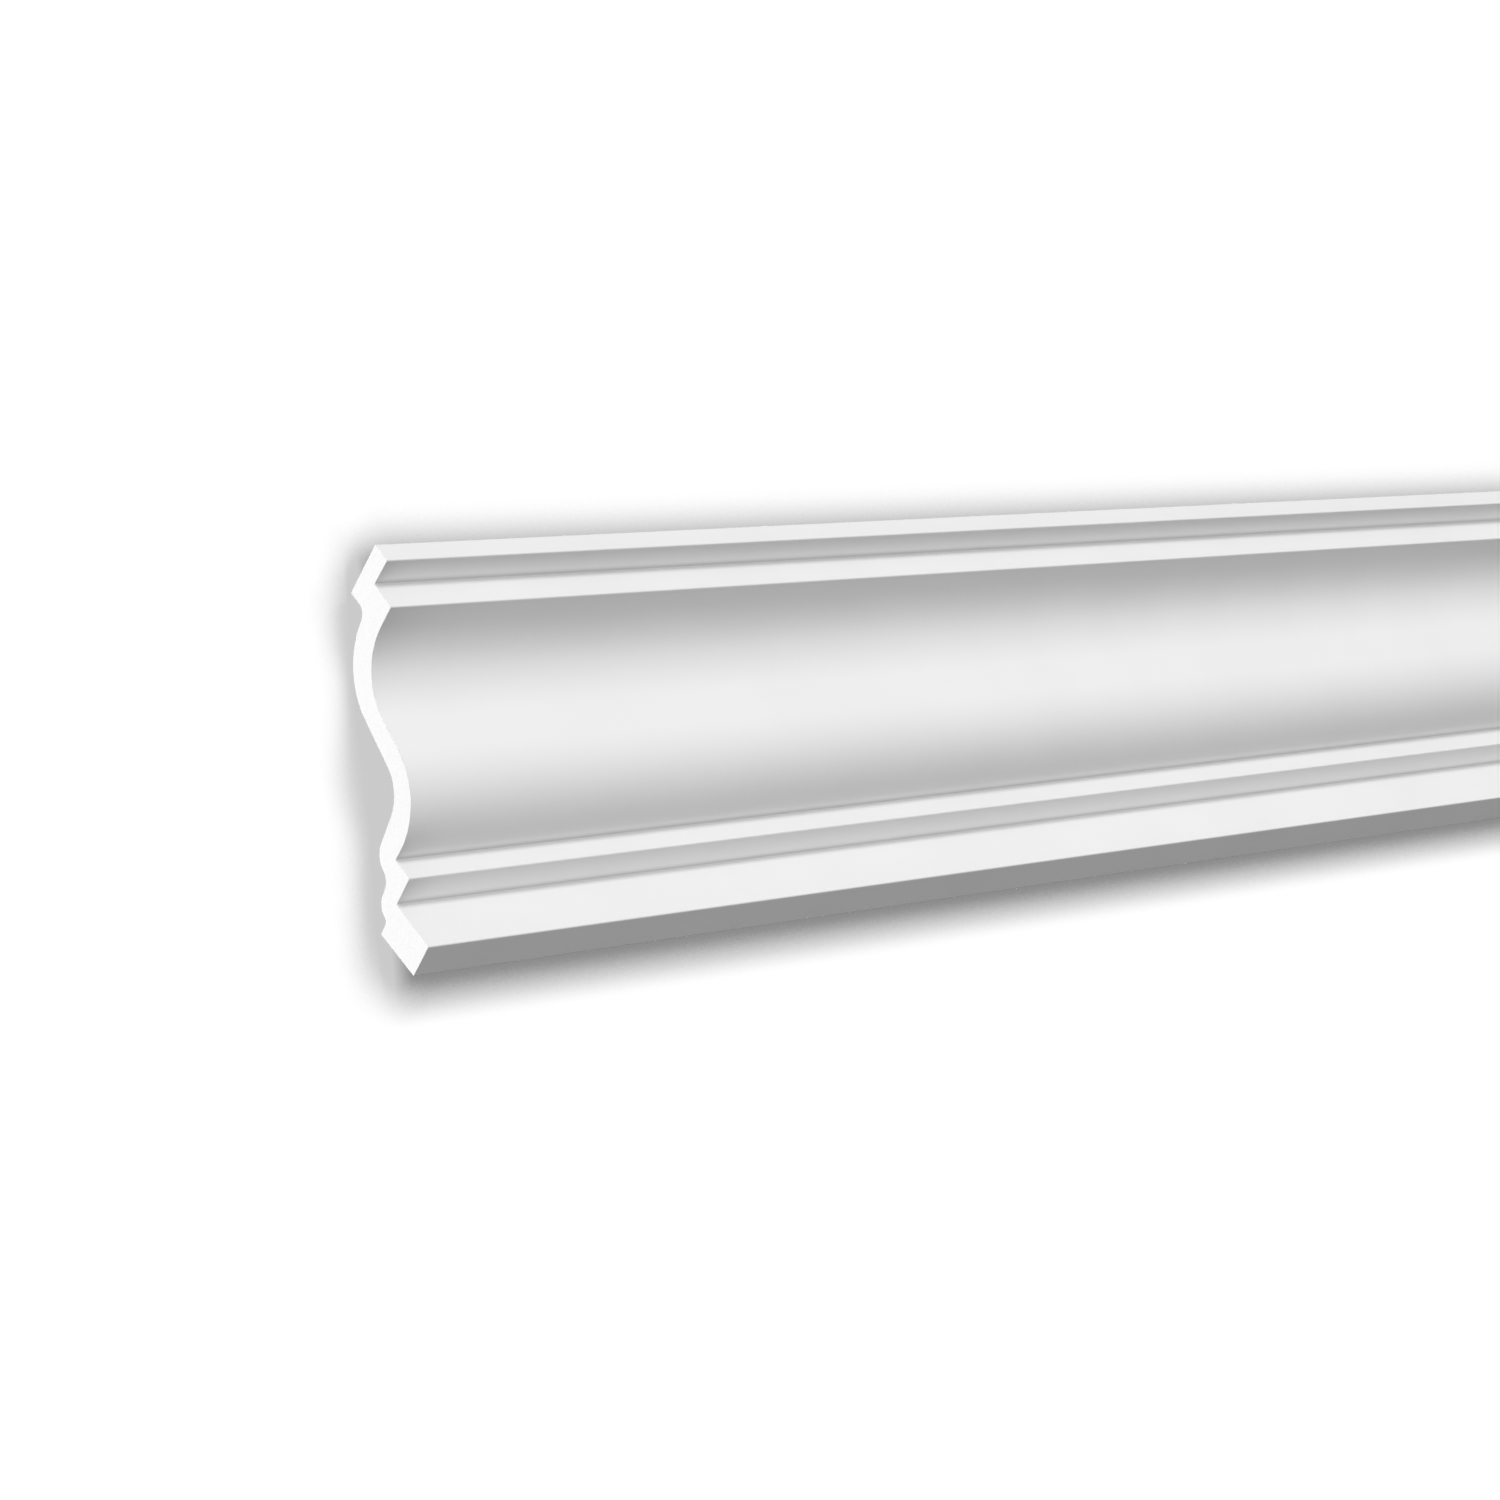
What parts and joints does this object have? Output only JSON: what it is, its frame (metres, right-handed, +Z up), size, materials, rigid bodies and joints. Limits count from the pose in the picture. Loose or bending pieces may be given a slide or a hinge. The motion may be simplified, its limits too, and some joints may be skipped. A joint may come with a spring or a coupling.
{
  "type": "crown moulding length",
  "caption": "Length of white moulded crown moulding: stepped top and foot bands with a cove and ovolo sweep between, relieved back, square sawn ends.",
  "frame": {"origin": "middle of the flat that seats on the wall: half way along the length, half way up that flat", "axes": "+X along the length, +Y into the wall, +Z up, so the moulded face looks towards -Y and down, as it is fixed under a ceiling"},
  "size_m": [0.68, 0.1013, 0.098],
  "materials": {
    "primed_foam": "moulded high-density polyurethane foam with a smooth factory-primed white skin, satin-matte"
  },
  "bodies": {
    "root": {"crown_moulding": "primed_foam"}
  },
  "joints": []
}
